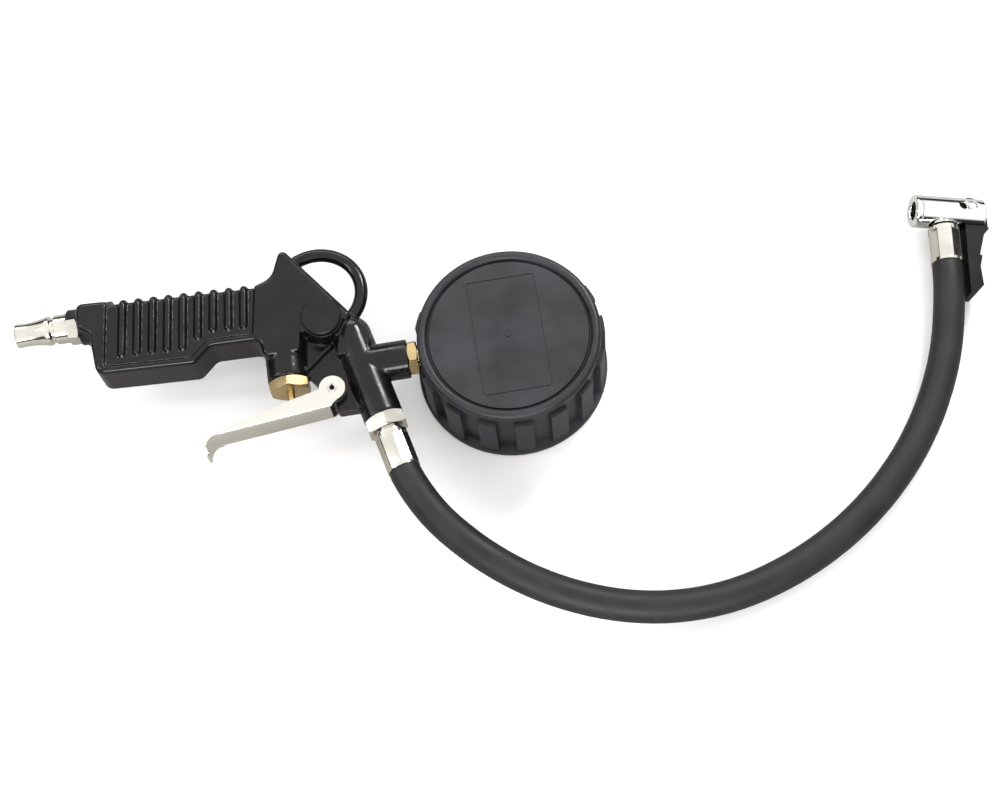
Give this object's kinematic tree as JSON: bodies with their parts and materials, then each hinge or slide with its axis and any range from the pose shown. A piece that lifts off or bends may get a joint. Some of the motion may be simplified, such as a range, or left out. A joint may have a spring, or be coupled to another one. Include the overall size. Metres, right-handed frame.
{
  "type": "tyre inflator with gauge",
  "caption": "Hand-held tyre inflator: ribbed cast grip with trigger valve, round dial gauge in a rubber boot, short rubber hose and clip-on air chuck with thumb lever.",
  "frame": {"origin": "centre of the front rim of the gauge's rubber boot, the face the gauge rests on when it lies glass down", "axes": "+X from the gun along the gauge's stem, towards the gauge and on to the chuck; -Y the trigger side, where the hose leaves; +Z out of the boot's closed back, up from the bench"},
  "size_m": [0.4459, 0.1951, 0.043],
  "materials": {
    "cast_black": "semi-gloss black paint over a fine cast texture",
    "cap_black": "matt black, turned",
    "nickel": "bright nickel plate",
    "brass": "machined brass",
    "bright_sheet": "bright zinc-plated sheet steel",
    "steel": "turned steel",
    "spring_steel": "drawn spring wire",
    "seal_rubber": "moulded seal rubber",
    "boot_rubber": "soft charcoal moulded rubber",
    "hose_rubber": "matt extruded rubber",
    "case_steel": "black painted pressed steel",
    "clear_lens": "clear flat glass",
    "dial_white": "white enamel with printed scale",
    "pointer_black": "black enamel",
    "chrome": "bright chrome plate",
    "black_plastic": "moulded black plastic",
    "seat_plastic": "machined white plastic"
  },
  "bodies": {
    "gun": {"gun_body": "cast_black", "boss_cap": "cap_black", "boss_cap_seal": "seal_rubber", "inlet_plug": "nickel", "valve_gland_nut": "brass", "gland_o_ring": "seal_rubber", "valve_seat": "seat_plastic", "valve_spring": "spring_steel", "trigger_pin": "steel", "gauge_socket": "brass", "gauge_boot": "boot_rubber", "gauge_case": "case_steel", "lens_ring": "case_steel", "gauge_lens": "clear_lens", "dial_plate": "dial_white", "dial_screws": "steel", "pointer_stop": "steel", "movement_front_plate": "brass", "movement_back_plate": "brass", "movement_pillars": "brass", "movement_screws": "steel", "hairspring": "spring_steel", "bourdon_tube": "brass", "tube_tip": "brass", "hose_fitting": "nickel", "gun_ferrule": "nickel", "hose": "hose_rubber"},
    "trigger": {"trigger_lever": "bright_sheet"},
    "valve": {"valve_stem": "brass", "valve_seal": "seal_rubber"},
    "needle": {"pointer": "pointer_black", "pinion_shaft": "brass"},
    "sector": {"sector_gear": "brass"},
    "link": {"tip_link": "steel"},
    "chuck": {"chuck_tail": "nickel", "chuck_ferrule": "nickel", "chuck_body": "chrome", "chuck_nose": "chrome", "chuck_gasket": "seal_rubber", "thumb_lever_pin": "steel"},
    "plunger": {"chuck_plunger": "brass", "plunger_o_ring": "seal_rubber"},
    "thumb": {"thumb_lever": "black_plastic"}
  },
  "joints": [
    {"name": "trigger_pull", "type": "hinge", "parent": "gun", "child": "trigger", "pos_m": [-0.0802, -0.0113, 0.0295], "axis": [0, 0, -1], "range_deg": [0, 11]},
    {"name": "valve_travel", "type": "slide", "parent": "gun", "child": "valve", "axis": [0, 1, 0], "range_m": [0, 0.00365], "deforming": ["valve_spring"]},
    {"name": "needle_turn", "type": "hinge", "parent": "gun", "child": "needle", "pos_m": [0, 0, 0.0085], "axis": [0, 0, 1], "range_deg": [0, 270]},
    {"name": "sector_turn", "type": "hinge", "parent": "gun", "child": "sector", "pos_m": [-0.0168, 0, 0.0176], "axis": [0, 0, -1], "range_deg": [0, 45]},
    {"name": "link_turn", "type": "hinge", "parent": "sector", "child": "link", "pos_m": [-0.0219, -0.0021, 0.019], "axis": [0, 0, 1], "range_deg": [0, 45]},
    {"name": "hose_bend", "type": "hinge", "parent": "gun", "child": "chuck", "pos_m": [0.063, -0.071, 0.0122], "axis": [0, 0, 1], "range_deg": [-15, 15], "deforming": ["hose"]},
    {"name": "thumb_lever_swing", "type": "hinge", "parent": "chuck", "child": "thumb", "pos_m": [0.21868, 0.03648, 0.0096], "axis": [0.2056, -0.0307, 0.9781], "range_deg": [0, 80]},
    {"name": "plunger_travel", "type": "slide", "parent": "chuck", "child": "plunger", "axis": [-0.9674, 0.1446, 0.2079], "range_m": [0, 0.0015], "deforming": ["chuck_gasket"]}
  ],
  "couplings": [
    {"joint": "valve_travel", "follows": "trigger_pull", "m_per_rad": 0.01896},
    {"joint": "needle_turn", "follows": "sector_turn", "ratio": 6},
    {"joint": "link_turn", "follows": "sector_turn", "ratio": 1},
    {"joint": "plunger_travel", "follows": "thumb_lever_swing", "m_per_rad": 0.001074}
  ]
}
